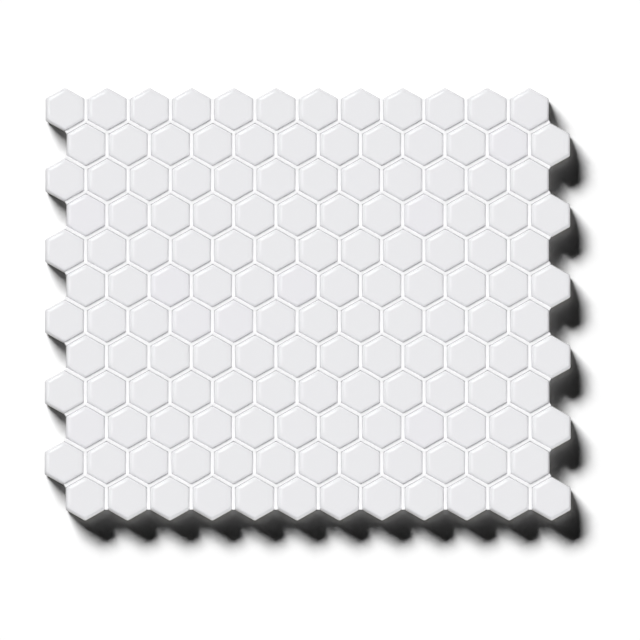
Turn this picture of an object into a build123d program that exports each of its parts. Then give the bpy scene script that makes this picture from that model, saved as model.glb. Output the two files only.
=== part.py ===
from build123d import *
import math
import os

# Hexagon mosaic tile sheet: glazed tiles held edge to edge by a white joint filler,
# on a glass-fibre mesh. Millimetres, +Z up, glazed face upwards.
# The origin is in the middle of the sheet's underside. Rows run along X, the first row
# lies at the far edge (+Y), and every second row is set half a pitch to the right.

# Tiles: a gentle bevel and a steep flank lead from the flat glazed face to the upright sides
tile_across_flats = 23.0
tile_thickness = 4.0
bevel_width = 2.0
bevel_drop = 0.5
flank_width = 1.0
flank_drop = 1.8
columns = 12
rows = 12

# Joints
joint_width = 2.0
joint_recess = 1.9  # from the glazed face down to the top of the filler

# Mesh backing: one layer of yarns along X, and one along Y lying on it
yarn_width = 1.0
yarn_thickness = 0.25
yarn_spacing = 5.0
mesh_setback = 1.5  # from the stepped outer edge of the tiles in to the cut edge of the mesh

# The hexagon field
pitch = tile_across_flats + joint_width
row_pitch = pitch * math.sqrt(3) / 2
corner_radius = tile_across_flats / math.sqrt(3)  # tile centre to corner; also a side's length

# Heights: the tiles and the filler stand on the mesh. The filler comes up a little past the tiles'
# upright sides, so that a narrow groove stays open where each flank falls away from it.
mesh_thickness = 2 * yarn_thickness
side_height = tile_thickness - bevel_drop - flank_drop
filler_height = tile_thickness - joint_recess

# A tile's corners, anticlockwise from the upper right one
UPPER_RIGHT, TOP, UPPER_LEFT, LOWER_LEFT, BOTTOM, LOWER_RIGHT = range(6)


def set_right(row):
    """Whether a row is one of those set half a pitch to the right."""
    return row % 2 == 1


def tile_centre(row, column):
    """Middle of a tile in plan, with the whole field centred on the origin."""
    stagger = pitch / 4 if set_right(row) else -pitch / 4
    x = (column - (columns - 1) / 2) * pitch + stagger
    y = ((rows - 1) / 2 - row) * row_pitch
    return Vector(x, y)


def tile_corner(row, column, corner):
    """One corner of a tile in plan."""
    angle = math.radians(30 + 60 * corner)
    return tile_centre(row, column) + Vector(math.cos(angle), math.sin(angle)) * corner_radius


def tile_plan(inset=0.0):
    """A tile's outline, drawn in by an inset: a regular hexagon that stands on one corner."""
    return RegularPolygon(tile_across_flats / 2 - inset, 6, major_radius=False, rotation=30)


def make_tile():
    """One pressed tile: upright sides, a steep flank, and a gentle bevel round the flat face."""
    outlines = [
        tile_plan(),
        Pos(0, 0, side_height) * tile_plan(),
        Pos(0, 0, side_height + flank_drop) * tile_plan(flank_width),
        Pos(0, 0, tile_thickness) * tile_plan(flank_width + bevel_width),
    ]
    return loft(outlines, ruled=True)


def make_tile_row(tile, row):
    """One row of separate tiles, standing on the mesh."""
    centres = [tile_centre(row, column) for column in range(columns)]
    return Compound(children=[Pos(c.X, c.Y, mesh_thickness) * tile for c in centres])


def sheet_outline():
    """The stepped outline of the field, clockwise from the first tile. It follows the outer
    corners of the tiles and goes straight across the mouth of each joint."""
    last_row, last_column = rows - 1, columns - 1
    corners = []
    for column in range(columns):
        corners += [(0, column, c) for c in (UPPER_LEFT, TOP, UPPER_RIGHT)]
    for row in range(rows):
        right_end = (TOP, UPPER_RIGHT, LOWER_RIGHT, BOTTOM) if set_right(row) else (UPPER_RIGHT, LOWER_RIGHT)
        corners += [(row, last_column, c) for c in right_end]
    for column in reversed(range(columns)):
        corners += [(last_row, column, c) for c in (LOWER_RIGHT, BOTTOM, LOWER_LEFT)]
    for row in reversed(range(rows)):
        left_end = (LOWER_LEFT, UPPER_LEFT) if set_right(row) else (BOTTOM, LOWER_LEFT, UPPER_LEFT, TOP)
        corners += [(row, 0, c) for c in left_end]
    # The runs share the corners where they meet, so each corner is kept once.
    return [tile_corner(*corner) for corner in dict.fromkeys(corners)]


def make_joint_filler():
    """The white lattice that fills every joint and bonds the tiles edge to edge."""
    sheet = make_face(Polyline(*sheet_outline(), close=True))
    cells = [
        Pos(tile_centre(row, column)) * tile_plan() for row in range(rows) for column in range(columns)
    ]
    return Pos(0, 0, mesh_thickness) * extrude(sheet - cells, filler_height)


def spaced_from_middle(length):
    """Places of the yarns across a length, one of them in the middle."""
    each_side = int((length - yarn_width) / 2 / yarn_spacing)
    return [i * yarn_spacing for i in range(-each_side, each_side + 1)]


def make_mesh():
    """The two yarn layers. The mesh is a rectangle that stays behind the tiles all round."""
    # Left and right it ends inside the rows that are set in, front and back where the
    # outer rows' upright sides end.
    length = (columns - 1) * pitch - pitch / 2 + tile_across_flats - 2 * mesh_setback
    width = (rows - 1) * row_pitch + corner_radius - 2 * mesh_setback
    on_base = (Align.CENTER, Align.CENTER, Align.MIN)
    long_yarn = Box(length, yarn_width, yarn_thickness, align=on_base)
    cross_yarn = Box(yarn_width, width, yarn_thickness, align=on_base)
    long_layer = [Pos(0, y, 0) * long_yarn for y in spaced_from_middle(width)]
    cross_layer = [Pos(x, 0, yarn_thickness) * cross_yarn for x in spaced_from_middle(length)]
    return Compound(children=long_layer), Compound(children=cross_layer)


def main():
    """Build every piece and write one file for each node."""
    tile = make_tile()
    pieces = {f"tile_row_{row + 1:02d}": make_tile_row(tile, row) for row in range(rows)}
    pieces["joint_filler"] = make_joint_filler()
    pieces["mesh_long_yarns"], pieces["mesh_cross_yarns"] = make_mesh()
    os.makedirs("parts", exist_ok=True)
    for node, shape in pieces.items():
        export_step(shape, f"parts/{node}.step")


main()
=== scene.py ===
"""Looks of a white hexagon mosaic tile sheet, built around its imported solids.

Lengths are metres in the part's own frame: +X along the rows, +Y towards the first row, +Z out of the glazed
face. A size that a person would quote is written in millimetres, times MM.
"""
import logging
import math
import random
from collections.abc import Callable
from dataclasses import dataclass, field
from enum import Enum
from typing import Any

import bpy
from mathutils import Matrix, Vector


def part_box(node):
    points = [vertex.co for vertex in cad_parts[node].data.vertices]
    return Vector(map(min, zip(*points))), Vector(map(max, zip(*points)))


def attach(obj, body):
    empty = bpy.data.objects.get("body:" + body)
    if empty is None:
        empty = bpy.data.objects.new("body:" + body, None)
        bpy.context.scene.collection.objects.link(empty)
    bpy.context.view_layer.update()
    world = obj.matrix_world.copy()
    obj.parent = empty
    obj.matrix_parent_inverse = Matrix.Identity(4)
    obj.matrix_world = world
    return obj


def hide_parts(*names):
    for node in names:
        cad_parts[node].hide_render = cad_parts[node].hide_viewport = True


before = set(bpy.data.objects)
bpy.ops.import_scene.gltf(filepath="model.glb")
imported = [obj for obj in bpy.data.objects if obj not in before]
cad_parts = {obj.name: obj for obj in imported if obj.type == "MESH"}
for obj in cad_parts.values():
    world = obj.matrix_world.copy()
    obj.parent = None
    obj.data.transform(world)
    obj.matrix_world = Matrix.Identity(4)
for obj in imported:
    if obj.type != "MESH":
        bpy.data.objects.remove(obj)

MM = 0.001
SAME_PLACE = 0.001 * MM
ENDS_MEET = 0.01 * MM
FACING_UP = 0.5  # the least height of a face's normal that makes it a top
HEXAGON_SIDES = 6
SEED = 12
BODY = "root"
log = logging.getLogger("mosaic_sheet")


# Small tools

def linear(hex_code: str) -> tuple[float, float, float, float]:
    """Turn an sRGB colour into linear light.

    Args:
        hex_code: Six hex digits, such as "EAEAEC".

    Returns:
        Red, green and blue in linear light, and an alpha of 1.
    """
    values = [int(hex_code[i : i + 2], 16) / 255 for i in (0, 2, 4)]
    red, green, blue = (v / 12.92 if v <= 0.04045 else ((v + 0.055) / 1.055) ** 2.4 for v in values)
    return red, green, blue, 1.0


def add_node(
    tree: bpy.types.NodeTree, kind: str, inputs: dict[str | int, Any] | None = None, **settings: Any
) -> bpy.types.Node:
    """Add a node to a tree, set it up and feed its inputs.

    Args:
        tree: The node tree of a material or of the world.
        kind: Blender's name for the kind of node.
        inputs: For an input's name or number, the output socket that is linked to it or a plain value.
        settings: Properties of the node itself.

    Returns:
        The new node.
    """
    node = tree.nodes.new(kind)
    for name, value in settings.items():
        setattr(node, name, value)
    for socket, value in (inputs or {}).items():
        if isinstance(value, bpy.types.NodeSocket):
            tree.links.new(value, node.inputs[socket])
        else:
            node.inputs[socket].default_value = value
    return node


def add_noise(
    tree: bpy.types.NodeTree, place: bpy.types.NodeSocket, size: float, detail: float
) -> bpy.types.NodeSocket:
    """Add a cloudy pattern.

    Args:
        tree: The node tree.
        place: The socket that gives the place of a point.
        size: About how large its patches are.
        detail: How many finer patterns are laid over it.

    Returns:
        The socket that gives the pattern's value.
    """
    noise = add_node(tree, "ShaderNodeTexNoise", {"Vector": place, "Scale": 1 / size, "Detail": detail})
    return noise.outputs["Fac"]


def mix_colours(
    tree: bpy.types.NodeTree, share: bpy.types.NodeSocket, first: Any, second: Any
) -> bpy.types.NodeSocket:
    """Mix two colours.

    Args:
        tree: The node tree.
        share: The socket that gives the second colour's share.
        first: A colour in linear light or a socket that gives one.
        second: The other one.

    Returns:
        The socket that gives the mixture.
    """
    return add_node(tree, "ShaderNodeMix", {0: share, 6: first, 7: second}, data_type="RGBA").outputs[2]


def add_bump(tree: bpy.types.NodeTree, pattern: bpy.types.NodeSocket, height: float) -> bpy.types.NodeSocket:
    """Raise a surface by a pattern.

    Args:
        tree: The node tree.
        pattern: The socket that gives the pattern's value.
        height: From the pattern's lowest to its highest points.

    Returns:
        The socket that gives the bumpy surface's direction.
    """
    return add_node(tree, "ShaderNodeBump", {"Height": pattern, "Distance": height}).outputs[0]


def add_surface(tree: bpy.types.NodeTree, inputs: dict[str, Any]) -> None:
    """End a material's tree with its shader and its output.

    Args:
        tree: The node tree.
        inputs: What goes into the shader.
    """
    shader = add_node(tree, "ShaderNodeBsdfPrincipled", inputs)
    add_node(tree, "ShaderNodeOutputMaterial", {"Surface": shader.outputs[0]})


def new_material(name: str) -> tuple[bpy.types.Material, bpy.types.NodeTree]:
    """Make a material with an empty node tree.

    Args:
        name: The material's name.

    Returns:
        The material and its node tree.
    """
    material = bpy.data.materials.new(name)
    material.use_nodes = True
    material.node_tree.nodes.clear()
    return material, material.node_tree


def deselect_all() -> None:
    """Leave edit mode, with no object selected."""
    if bpy.context.object and bpy.context.object.mode != "OBJECT":
        bpy.ops.object.mode_set(mode="OBJECT")
    bpy.ops.object.select_all(action="DESELECT")


def select_only(*pieces: bpy.types.Object) -> None:
    """Select these objects alone, the first of them active."""
    deselect_all()
    for piece in pieces:
        piece.select_set(True)
    bpy.context.view_layer.objects.active = pieces[0]


def select_faces(piece: bpy.types.Object, wanted: Callable[[bpy.types.MeshPolygon], bool]) -> None:
    """Go into edit mode with some of a piece's faces selected.

    Args:
        piece: The mesh object.
        wanted: Says whether a face is one of them.
    """
    select_only(piece)
    bpy.ops.object.mode_set(mode="EDIT")
    bpy.ops.mesh.select_mode(type="FACE")
    bpy.ops.mesh.select_all(action="DESELECT")
    bpy.ops.object.mode_set(mode="OBJECT")
    for face in piece.data.polygons:
        face.select = wanted(face)
    bpy.ops.object.mode_set(mode="EDIT")


def select_level_edges(piece: bpy.types.Object, height: float) -> None:
    """Go into edit mode with the edges that lie level at one height selected.

    Args:
        piece: The mesh object.
        height: Their height.
    """
    select_only(piece)
    bpy.ops.object.mode_set(mode="EDIT")
    bpy.ops.mesh.select_mode(type="EDGE")
    bpy.ops.mesh.select_all(action="DESELECT")
    bpy.ops.object.mode_set(mode="OBJECT")
    heights = [vertex.co.z for vertex in piece.data.vertices]
    for edge in piece.data.edges:
        edge.select = all(abs(heights[vertex] - height) < SAME_PLACE for vertex in edge.vertices)
    bpy.ops.object.mode_set(mode="EDIT")


def in_line(before: tuple[float, float], point: tuple[float, float], after: tuple[float, float]) -> bool:
    """Tell whether a point of an outline lies on the straight line between its neighbours.

    Args:
        before: The point before it.
        point: The point.
        after: The point after it.

    Returns:
        True where the outline doesn't bend there.
    """
    chord = Vector(after) - Vector(before)
    step = Vector(point) - Vector(before)
    return abs(chord.cross(step)) < SAME_PLACE * chord.length


def apply_array(piece: bpy.types.Object, count: int, step: Vector, merge: bool = False) -> None:
    """Repeat a piece in a straight line, as one mesh.

    Args:
        piece: The mesh object.
        count: How many there are in the end.
        step: From one to the next.
        merge: Whether neighbours grow together where their ends meet.
    """
    select_only(piece)
    array = piece.modifiers.new("Array", "ARRAY")
    array.count = count
    array.use_relative_offset = False
    array.use_constant_offset = True
    array.constant_offset_displace = step
    array.use_merge_vertices = merge
    array.merge_threshold = ENDS_MEET
    bpy.ops.object.modifier_apply(modifier=array.name)


def hand_in(piece: bpy.types.Object, name: str, slot: str, *nodes: str) -> bpy.types.Object:
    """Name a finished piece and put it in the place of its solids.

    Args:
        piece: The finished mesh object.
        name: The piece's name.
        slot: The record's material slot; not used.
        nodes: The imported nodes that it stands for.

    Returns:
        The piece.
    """
    deselect_all()
    piece.name = name
    piece.data.name = name
    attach(piece, BODY)
    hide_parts(*nodes)
    log.info("%s: %d faces", name, len(piece.data.polygons))
    return piece


# Finishes

@dataclass(frozen=True)
class PorcelainGlaze:
    """White porcelain, dust-pressed, with a glossy white glaze fired on it.

    To the eye the glaze is smooth and even, with a soft bright line along the rounded edges and the faintest
    waviness. It stops short of the back, where the fired body is matt and a little warmer.
    """

    name: str = "white_glazed_porcelain"
    glaze_hex: str = "E4E4E6"
    cool_glaze_hex: str = "E4E3E7"
    body_hex: str = "E2E0DA"
    glaze_roughness: float = 0.16
    body_roughness: float = 0.75
    glaze_ior: float = 1.52
    tone_attribute: str = "tile_tone"
    # The glaze's lower edge: its height over the back, how far it wanders, over what length, and its blur
    glaze_line: float = 0.9 * MM
    glaze_line_wander: float = 0.3 * MM
    glaze_line_wave: float = 6 * MM
    glaze_line_blur: float = 0.1 * MM
    wave_size: float = 5 * MM
    wave_height: float = 0.012 * MM
    grit_size: float = 0.4 * MM
    grit_height: float = 0.03 * MM

    def material(self, bed: float) -> bpy.types.Material:
        """Make the material.

        Args:
            bed: Height of the tiles' backs.

        Returns:
            The material.
        """
        material, tree = new_material(self.name)
        place = add_node(tree, "ShaderNodeTexCoord").outputs["Object"]
        tone = add_node(tree, "ShaderNodeAttribute", attribute_name=self.tone_attribute).outputs["Fac"]
        glaze = mix_colours(tree, tone, linear(self.glaze_hex), linear(self.cool_glaze_hex))
        # The lower edge of the glaze wanders a little up and down the sides.
        wander = add_noise(tree, place, self.glaze_line_wave, detail=2.0)
        height = add_node(tree, "ShaderNodeSeparateXYZ", {0: place}).outputs["Z"]
        line = bed + self.glaze_line
        lowest, highest = line - self.glaze_line_wander, line + self.glaze_line_wander
        edge = add_node(tree, "ShaderNodeMapRange", {"Value": wander, 3: lowest, 4: highest}).outputs[0]
        above = add_node(tree, "ShaderNodeMath", {0: height, 1: edge}, operation="SUBTRACT").outputs[0]
        glazed = add_node(
            tree, "ShaderNodeMapRange", {"Value": above, 1: -self.glaze_line_blur, 2: self.glaze_line_blur}
        ).outputs[0]
        colour = mix_colours(tree, glazed, linear(self.body_hex), glaze)
        roughness = add_node(
            tree, "ShaderNodeMapRange", {"Value": glazed, 3: self.body_roughness, 4: self.glaze_roughness}
        ).outputs[0]
        wavy = add_bump(tree, add_noise(tree, place, self.wave_size, detail=1.0), self.wave_height)
        gritty = add_bump(tree, add_noise(tree, place, self.grit_size, detail=2.0), self.grit_height)
        normal = add_node(
            tree, "ShaderNodeMix", {0: glazed, 4: gritty, 5: wavy}, data_type="VECTOR"
        ).outputs[1]
        add_surface(
            tree, {"Base Color": colour, "Roughness": roughness, "IOR": self.glaze_ior, "Normal": normal}
        )
        return material


@dataclass(frozen=True)
class FlexibleFiller:
    """White flexible joint filler, wiped smooth with a damp sponge.

    To the eye it is a matt, very white line with a fine sandy grain and a faint unevenness along the joints.
    """

    name: str = "white_flexible_filler"
    light_hex: str = "FDFDFE"
    dark_hex: str = "FAFAFB"
    roughness: float = 0.7
    ior: float = 1.45
    cloud_size: float = 18 * MM
    # The real sand is about 0.2 mm and too fine to show, so it is drawn twice as coarse.
    sand_size: float = 0.4 * MM
    sand_height: float = 0.04 * MM

    def material(self) -> bpy.types.Material:
        """Make the material.

        Returns:
            The material.
        """
        material, tree = new_material(self.name)
        place = add_node(tree, "ShaderNodeTexCoord").outputs["Object"]
        clouds = add_noise(tree, place, self.cloud_size, detail=3.0)
        sand = add_noise(tree, place, self.sand_size, detail=2.0)
        colour = mix_colours(tree, clouds, linear(self.dark_hex), linear(self.light_hex))
        normal = add_bump(tree, sand, self.sand_height)
        add_surface(
            tree, {"Base Color": colour, "Roughness": self.roughness, "IOR": self.ior, "Normal": normal}
        )
        return material


@dataclass(frozen=True)
class GlassYarn:
    """Glass-fibre yarn with an alkali-resistant resin coat.

    To the eye it is an off-white flat thread with a slight sheen and fine filaments along its length.
    """

    name: str
    along: "YarnLayer"
    light_hex: str = "F0F0EA"
    dark_hex: str = "D6D6CC"
    roughness: float = 0.45
    ior: float = 1.55
    filament_width: float = 0.12 * MM
    filament_length: float = 6 * MM
    filament_height: float = 0.02 * MM

    def material(self) -> bpy.types.Material:
        """Make the material.

        Returns:
            The material.
        """
        material, tree = new_material(self.name)
        place = add_node(tree, "ShaderNodeTexCoord").outputs["Object"]
        fine, long = 1 / self.filament_width, 1 / self.filament_length
        scale = (long, fine, fine) if self.along is YarnLayer.LONG else (fine, long, fine)
        stretched = add_node(tree, "ShaderNodeMapping", {"Vector": place, "Scale": scale}).outputs[0]
        # The mapping has brought the filaments to unit size.
        filaments = add_noise(tree, stretched, size=1.0, detail=2.0)
        colour = mix_colours(tree, filaments, linear(self.dark_hex), linear(self.light_hex))
        normal = add_bump(tree, filaments, self.filament_height)
        add_surface(
            tree, {"Base Color": colour, "Roughness": self.roughness, "IOR": self.ior, "Normal": normal}
        )
        return material


# Pieces of the sheet

@dataclass(frozen=True)
class TileLayout:
    """Where the tiles are and how they are shaped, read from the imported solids.

    Attributes:
        rows: The row nodes' names, from the far edge on.
        columns: Tiles in a row.
        pitch: From one tile's middle to the next in a row.
        sections: Half the width between flats and the height of each of a tile's outlines, from the back up.
    """

    rows: tuple[str, ...]
    columns: int
    pitch: float
    sections: tuple[tuple[float, float], ...]

    @classmethod
    def from_frame(cls, columns: int = 12) -> "TileLayout":
        """Read the layout.

        Args:
            columns: Tiles in a row.

        Returns:
            The layout.
        """
        rows = tuple(sorted(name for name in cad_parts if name.startswith("tile_row_")))
        low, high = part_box(rows[0])
        half = (high.y - low.y) * math.sqrt(3) / 4
        pitch = (high.x - low.x - 2 * half) / (columns - 1)
        ends: dict[float, float] = {}
        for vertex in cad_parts[rows[0]].data.vertices:
            level = round(vertex.co.z, 6)
            ends[level] = min(vertex.co.x, ends.get(level, math.inf))
        levels = [(half - (end - low.x), level) for level, end in sorted(ends.items())]
        # The solids' facets can have corners between the outlines, where the sides don't bend.
        neighbours = zip(levels, levels[1:], levels[2:])
        bends = [point for before, point, after in neighbours if not in_line(before, point, after)]
        return cls(rows, columns, pitch, (levels[0], *bends, levels[-1]))

    @property
    def half_width(self) -> float:
        """Half of a tile's width between its upright sides."""
        return self.sections[0][0]

    @property
    def bed(self) -> float:
        """Height of the tiles' backs."""
        return self.sections[0][1]

    @property
    def face(self) -> float:
        """Height of the glazed face."""
        return self.sections[-1][1]

    def middle(self, row: str, column: int) -> Vector:
        """Middle of a tile in plan.

        Args:
            row: The row node's name.
            column: The tile's number in its row, from 0 at the left.

        Returns:
            The point, at height 0.
        """
        low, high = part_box(row)
        x = (low.x + high.x) / 2 + (column - (self.columns - 1) / 2) * self.pitch
        return Vector((x, (low.y + high.y) / 2, 0))


@dataclass
class TileField:
    """The glazed tiles: one is modelled, and copies of it make up the rows."""

    layout: TileLayout
    finish: PorcelainGlaze
    corner_rounding: float = 1.0 * MM
    corner_segments: int = 1
    # How far the rounding reaches at the top of the flank and at the edge of the glazed face.
    edge_roundings: tuple[float, float] = (0.4 * MM, 0.45 * MM)
    edge_segments: int = 2
    smooth_below: float = math.radians(50)
    tilt: float = math.radians(0.04)
    # How far the tones differ, how many tiles in all are cooler, and by how much
    tone_range: float = 0.25
    cool_share: float = 0.07
    cool_tone: float = 0.6
    rng: random.Random = field(default_factory=lambda: random.Random(SEED))

    def model_tile(self) -> bpy.types.Object:
        """Model one tile over the origin, at its height in the sheet.

        Returns:
            The tile, with its finish.
        """
        at = self.layout
        deselect_all()
        corner_radius = at.half_width / math.cos(math.pi / HEXAGON_SIDES)
        bpy.ops.mesh.primitive_circle_add(
            vertices=HEXAGON_SIDES,
            radius=corner_radius,
            fill_type="NGON",
            calc_uvs=False,
            location=(0, 0, at.bed),
        )
        tile = bpy.context.object
        bpy.ops.object.transform_apply(location=True, rotation=False, scale=False)
        bpy.ops.object.mode_set(mode="EDIT")
        bpy.ops.mesh.select_mode(type="VERT")
        bpy.ops.mesh.select_all(action="SELECT")
        # The rounding starts this far from the corner, where a side turns by a sixth of a circle.
        run_out = self.corner_rounding * math.tan(math.pi / HEXAGON_SIDES)
        bpy.ops.mesh.bevel(offset=run_out, segments=self.corner_segments, affect="VERTICES")
        bpy.ops.mesh.select_mode(type="FACE")
        bpy.ops.mesh.select_all(action="SELECT")
        for (half, height), (next_half, next_height) in zip(at.sections, at.sections[1:]):
            shrink = next_half / half
            bpy.ops.mesh.extrude_region_move(TRANSFORM_OT_translate={"value": (0, 0, next_height - height)})
            bpy.ops.transform.resize(value=(shrink, shrink, 1))
        bpy.ops.mesh.select_all(action="SELECT")
        bpy.ops.mesh.normals_make_consistent(inside=False)
        for (_, height), rounding in zip(at.sections[-2:], self.edge_roundings):
            select_level_edges(tile, height)
            bpy.ops.mesh.bevel(offset=rounding, segments=self.edge_segments, affect="EDGES")
        bpy.ops.object.mode_set(mode="OBJECT")
        bpy.ops.object.shade_smooth_by_angle(angle=self.smooth_below)
        tile.data.materials.append(self.finish.material(at.bed))
        return tile

    def copy_tile(self, tile: bpy.types.Object, row: str, column: int) -> bpy.types.Object:
        """Copy the tile to its place, with a hair's breadth of tilt and a tone of its own.

        Args:
            tile: The modelled tile.
            row: The row node's name.
            column: The tile's number in its row.

        Returns:
            The copy.
        """
        copy = tile.copy()
        copy.data = tile.data.copy()
        bpy.context.scene.collection.objects.link(copy)
        tilts = [self.rng.uniform(-self.tilt, self.tilt) for _ in range(2)]
        # A tilted tile sinks by as much as its high corner would stand proud.
        sink = sum(abs(t) for t in tilts) * self.layout.half_width
        copy.location = self.layout.middle(row, column) - Vector((0, 0, sink))
        copy.rotation_euler = (*tilts, 0)
        cool = self.cool_tone if self.rng.random() < self.cool_share else 0.0
        tone = self.tone_range * self.rng.random() + cool
        attribute = copy.data.attributes.new(self.finish.tone_attribute, "FLOAT", "POINT")
        attribute.data.foreach_set("value", [tone] * len(copy.data.vertices))
        return copy

    def build(self) -> list[bpy.types.Object]:
        """Build every row.

        Returns:
            One piece for each row.
        """
        tile = self.model_tile()
        pieces = []
        for row in self.layout.rows:
            copies = [self.copy_tile(tile, row, column) for column in range(self.layout.columns)]
            select_only(*copies)
            bpy.ops.object.transform_apply(location=True, rotation=True, scale=True)
            bpy.ops.object.join()
            number = row.removeprefix("tile_row_")
            pieces.append(hand_in(bpy.context.object, f"glazed_tiles_{number}", "glazed_tile", row))
        bpy.data.objects.remove(tile)
        return pieces


@dataclass
class JointFiller:
    """The lattice of filler between the tiles, with the edges of its top rubbed round."""

    finish: FlexibleFiller
    node: str = "joint_filler"
    shoulder: float = 0.12 * MM
    shoulder_segments: int = 2
    smooth_below: float = math.radians(40)

    def build(self) -> bpy.types.Object:
        """Build the lattice from a copy of its solid.

        Returns:
            The piece.
        """
        filler = bpy.data.objects.new("filler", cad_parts[self.node].data.copy())
        bpy.context.scene.collection.objects.link(filler)
        filler.data.materials.clear()
        filler.data.materials.append(self.finish.material())
        select_faces(filler, lambda face: True)
        # The solid's mesh comes with split corners and shading of its own, which don't fit rubbed edges.
        bpy.ops.mesh.customdata_custom_splitnormals_clear()
        bpy.ops.mesh.remove_doubles(threshold=SAME_PLACE)
        bpy.ops.mesh.mark_sharp(clear=True)
        bpy.ops.object.mode_set(mode="OBJECT")
        select_faces(filler, lambda face: face.normal.z > FACING_UP)
        bpy.ops.mesh.region_to_loop()
        bpy.ops.mesh.bevel(offset=self.shoulder, segments=self.shoulder_segments, affect="EDGES")
        bpy.ops.object.mode_set(mode="OBJECT")
        bpy.ops.object.shade_smooth_by_angle(angle=self.smooth_below)
        # The large faces keep their own direction, so that only the shoulders look round.
        bpy.ops.object.modifier_add(type="WEIGHTED_NORMAL")
        filler.modifiers[-1].keep_sharp = True
        bpy.ops.object.modifier_apply(modifier=filler.modifiers[-1].name)
        return hand_in(filler, "rubbed_joint_filler", "joint_filler", self.node)


class YarnLayer(Enum):
    """Which way a layer of the mesh's yarns runs, and the node that it stands for."""

    LONG = "mesh_long_yarns"
    CROSS = "mesh_cross_yarns"


@dataclass
class BackingMesh:
    """The woven glass-fibre mesh on the back: yarns that pass over and under each other."""

    spacing: float = 5 * MM
    yarn_width: float = 1.0 * MM
    sides: int = 6
    smooth_below: float = math.radians(65)

    def model_yarn(self, length: float, thickness: float, sway: float) -> bpy.types.Object:
        """Model one yarn along X, centred on the origin.

        Args:
            length: The yarn's length.
            thickness: Its height.
            sway: How far its middle line lies above the origin at x = 0, and below at the next crossing.

        Returns:
            The yarn.
        """
        deselect_all()
        # A section 1 m across, which is then drawn in to the yarn's width and height
        bpy.ops.mesh.primitive_circle_add(
            vertices=self.sides, radius=0.5, fill_type="NOTHING", calc_uvs=False
        )
        yarn = bpy.context.object
        bpy.ops.object.mode_set(mode="EDIT")
        bpy.ops.mesh.select_all(action="SELECT")
        # A circle's first corner points along Y, so a quarter turn about Y stands it up across X.
        bpy.ops.transform.rotate(value=math.pi / 2, orient_axis="Y", center_override=(0, 0, 0))
        bpy.ops.transform.resize(value=(1, self.yarn_width, thickness))
        bpy.ops.transform.translate(value=(0, 0, sway))
        half = self.spacing / 2
        for rise in (-sway, -sway, sway, sway):
            bpy.ops.mesh.extrude_edges_move(TRANSFORM_OT_translate={"value": (half, 0, rise)})
        bpy.ops.object.mode_set(mode="OBJECT")
        period = 2 * self.spacing
        repeats = 2 * math.ceil(length / 2 / period)
        apply_array(yarn, repeats, Vector((period, 0, 0)), merge=True)
        bpy.ops.object.mode_set(mode="EDIT")
        bpy.ops.mesh.select_all(action="SELECT")
        bpy.ops.transform.translate(value=(-repeats / 2 * period, 0, 0))
        for end in (-1, 1):
            bpy.ops.mesh.select_all(action="SELECT")
            bpy.ops.mesh.bisect(
                plane_co=(end * length / 2, 0, 0), plane_no=(end, 0, 0), use_fill=True, clear_outer=True
            )
        bpy.ops.mesh.select_all(action="SELECT")
        bpy.ops.mesh.normals_make_consistent(inside=False)
        bpy.ops.object.mode_set(mode="OBJECT")
        bpy.ops.object.shade_smooth_by_angle(angle=self.smooth_below)
        return yarn

    def build(self, layer: YarnLayer) -> bpy.types.Object:
        """Build one layer of yarns in the place of its solids.

        Args:
            layer: Which way the yarns run.

        Returns:
            The piece.
        """
        low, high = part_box(layer.value)
        long_low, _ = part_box(YarnLayer.LONG.value)
        _, cross_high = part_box(YarnLayer.CROSS.value)
        size = high - low
        thickness = size.z
        middle_height = (long_low.z + cross_high.z) / 2
        sway = thickness / 2
        runs_long = layer is YarnLayer.LONG
        length, spread = (size.x, size.y) if runs_long else (size.y, size.x)
        each_side = round((spread - self.yarn_width) / 2 / self.spacing)
        # Neighbours pass the crossings the other way round, so each sort comes at twice the spacing.
        sorts = []
        for first, start_sway in ((-each_side, sway), (-each_side + 1, -sway)):
            crossing_sway = start_sway if runs_long else -start_sway
            yarn = self.model_yarn(length, thickness, crossing_sway)
            count = (each_side - first) // 2 + 1
            yarn.location = (0, first * self.spacing, 0)
            apply_array(yarn, count, Vector((0, 2 * self.spacing, 0)))
            sorts.append(yarn)
        select_only(*sorts)
        bpy.ops.object.transform_apply(location=True, rotation=True, scale=True)
        bpy.ops.object.join()
        weave = bpy.context.object
        weave.location = (0, 0, middle_height)
        weave.rotation_euler = (0, 0, 0 if runs_long else math.pi / 2)
        bpy.ops.object.transform_apply(location=True, rotation=True, scale=True)
        name = "woven_long_yarns" if runs_long else "woven_cross_yarns"
        weave.data.materials.append(GlassYarn(f"coated_glass_{name}", layer).material())
        return hand_in(weave, name, "glass_mesh", layer.value)


# The studio

class Lit(Enum):
    """What a lamp lights."""

    SHEET = "sheet"
    FLOOR = "floor"


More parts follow.
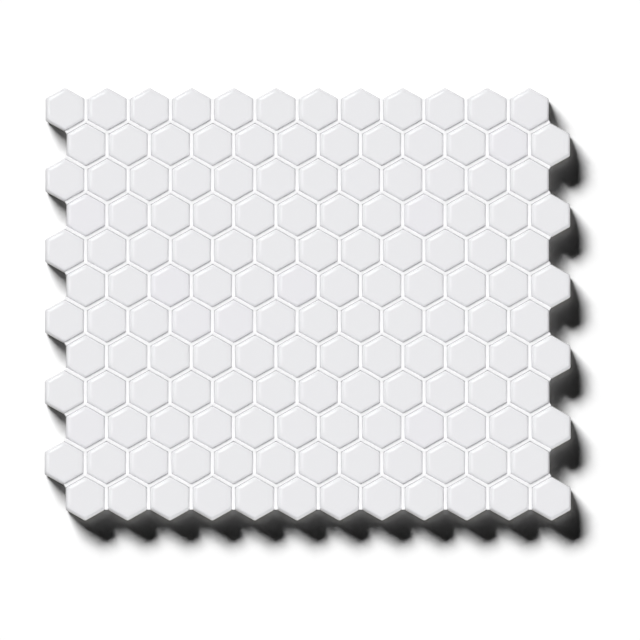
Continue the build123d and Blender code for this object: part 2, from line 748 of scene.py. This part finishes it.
@dataclass(frozen=True)
class Lamp:
    """A distant lamp.

    Attributes:
        name: The lamp's name.
        heading: Where its light goes in plan, in degrees from +X.
        elevation: Its height above the horizon, in degrees.
        spread: The angle that it fills, in degrees; a wide one is a soft box.
        level: The light that it adds on a level surface, where 1 shows a colour as it is written.
        lights: What it lights.
        mirrored: Whether glossy surfaces show it.
    """

    name: str
    heading: float
    elevation: float
    spread: float
    level: float
    lights: Lit = Lit.SHEET
    mirrored: bool = False

    def build(self, receivers: dict[Lit, list[bpy.types.Object]]) -> None:
        """Hang the lamp.

        Args:
            receivers: The objects of each sort that a lamp can light.
        """
        data = bpy.data.lights.new(self.name, "SUN")
        data.energy = self.level * math.pi / math.sin(math.radians(self.elevation))
        data.angle = math.radians(self.spread)
        lamp = bpy.data.objects.new(self.name, data)
        bpy.context.scene.collection.objects.link(lamp)
        heading, elevation = math.radians(self.heading), math.radians(self.elevation)
        flat = math.cos(elevation)
        aim = Vector((math.cos(heading) * flat, math.sin(heading) * flat, -math.sin(elevation)))
        lamp.rotation_euler = aim.to_track_quat("-Z", "Y").to_euler()
        group = bpy.data.collections.new(f"{self.name}_lights")
        for piece in receivers[self.lights]:
            group.objects.link(piece)
        lamp.light_linking.receiver_collection = group
        lamp.visible_glossy = self.mirrored


@dataclass
class Studio:
    """A white floor, soft lamps and a camera that looks down on the sheet as the photo does."""

    layout: TileLayout
    floor_size: float = 12.0
    floor_hex: str = "DCDCDC"
    fill_level: float = 0.01
    lamps: tuple[Lamp, ...] = (
        Lamp("overhead_softbox", heading=0, elevation=90, spread=90, level=0.215),
        Lamp("key_softbox", heading=-57, elevation=40, spread=20, level=0.41),
        Lamp("right_fill", heading=126, elevation=12, spread=24, level=0.135),
        Lamp("left_fill", heading=60, elevation=18, spread=36, level=0.085),
        Lamp("back_fill", heading=-115, elevation=16, spread=40, level=0.068),
        Lamp("far_edge_light", heading=-68, elevation=48, spread=16, level=0.085, mirrored=True),
        Lamp("left_edge_light", heading=-32, elevation=57, spread=16, level=0.046, mirrored=True),
    )
    # Lamps side by side over the floor, for a shadow that is as soft along its sides as at its end
    strip_headings: tuple[int, ...] = tuple(range(-70, -45, 4))
    strip_elevation: float = 10.5
    strip_spread: float = 5.0
    strip_level: float = 1.4
    camera_elevation: float = math.radians(74.8)
    lens: float = 1500.0
    sensor: float = 36.0
    # Measured in the photo, in pixels: its width, the tiles' pitch and the middle of the first tile's face
    photo_width: int = 640
    photo_pitch: float = 42.30
    photo_first_tile: tuple[float, float] = (64.5, 108.0)

    def floor_strip(self) -> list[Lamp]:
        """Share the floor's light out among lamps side by side.

        Returns:
            The lamps.
        """
        level = self.strip_level / len(self.strip_headings)
        return [
            Lamp(f"floor_strip_{number}", heading, self.strip_elevation, self.strip_spread, level, Lit.FLOOR)
            for number, heading in enumerate(self.strip_headings, start=1)
        ]

    def build_floor(self) -> bpy.types.Object:
        """Lay the floor.

        Returns:
            The floor.
        """
        deselect_all()
        bpy.ops.mesh.primitive_plane_add(size=self.floor_size)
        floor = bpy.context.object
        floor.name = "floor"
        material, tree = new_material("white_paper_floor")
        shader = add_node(tree, "ShaderNodeBsdfDiffuse", {"Color": linear(self.floor_hex)})
        add_node(tree, "ShaderNodeOutputMaterial", {"Surface": shader.outputs[0]})
        floor.data.materials.append(material)
        # The floor throws no light back on the sheet, so that the outer flanks stay off white against it.
        floor.visible_diffuse = False
        return floor

    def build_world(self) -> None:
        """Surround the stage with white that shows, and reflects, but gives little light of its own."""
        world = bpy.data.worlds.new("studio")
        bpy.context.scene.world = world
        world.use_nodes = True
        tree = world.node_tree
        tree.nodes.clear()
        path = add_node(tree, "ShaderNodeLightPath").outputs
        shown = add_node(
            tree, "ShaderNodeMath", {0: path["Is Camera Ray"], 1: path["Is Glossy Ray"]}, operation="MAXIMUM"
        ).outputs[0]
        strength = add_node(
            tree, "ShaderNodeMapRange", {"Value": shown, 3: self.fill_level, 4: 1.0}
        ).outputs[0]
        background = add_node(tree, "ShaderNodeBackground", {"Color": (1, 1, 1, 1), "Strength": strength})
        add_node(tree, "ShaderNodeOutputWorld", {"Surface": background.outputs[0]})

    def build_camera(self) -> None:
        """Aim the camera so that the first tile lies where the photo has it, at the photo's scale."""
        scale = self.photo_pitch / self.layout.pitch
        first = self.layout.middle(self.layout.rows[0], 0) + Vector((0, 0, self.layout.face))
        sine, cosine = math.sin(self.camera_elevation), math.cos(self.camera_elevation)
        right, up, back = Vector((1, 0, 0)), Vector((0, sine, cosine)), Vector((0, -cosine, sine))
        half = self.photo_width / 2
        aim_x = first.dot(right) + (half - self.photo_first_tile[0]) / scale
        aim_up = first.dot(up) - (half - self.photo_first_tile[1]) / scale
        distance = self.photo_width / scale * self.lens / self.sensor
        data = bpy.data.cameras.new("camera")
        data.lens = self.lens
        data.sensor_width = self.sensor
        data.clip_end = 2 * distance
        camera = bpy.data.objects.new("camera", data)
        camera.location = right * aim_x + up * aim_up + back * distance
        camera.rotation_euler = (-back).to_track_quat("-Z", "Y").to_euler()
        bpy.context.scene.collection.objects.link(camera)
        bpy.context.scene.camera = camera

    def build(self, sheet: list[bpy.types.Object]) -> None:
        """Set up the whole studio.

        Args:
            sheet: The sheet's pieces.
        """
        floor = self.build_floor()
        self.build_world()
        for lamp in (*self.lamps, *self.floor_strip()):
            lamp.build({Lit.SHEET: sheet, Lit.FLOOR: [floor]})
        self.build_camera()
        bpy.context.scene.view_settings.view_transform = "Standard"


def main() -> None:
    """Build the sheet, then the studio round it."""
    logging.basicConfig(level=logging.INFO, format="%(name)s: %(message)s")
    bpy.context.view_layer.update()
    layout = TileLayout.from_frame()
    sheet = TileField(layout, PorcelainGlaze()).build()
    sheet.append(JointFiller(FlexibleFiller()).build())
    mesh = BackingMesh()
    sheet += [mesh.build(layer) for layer in YarnLayer]
    Studio(layout).build(sheet)


if __name__ == "__main__":
    main()
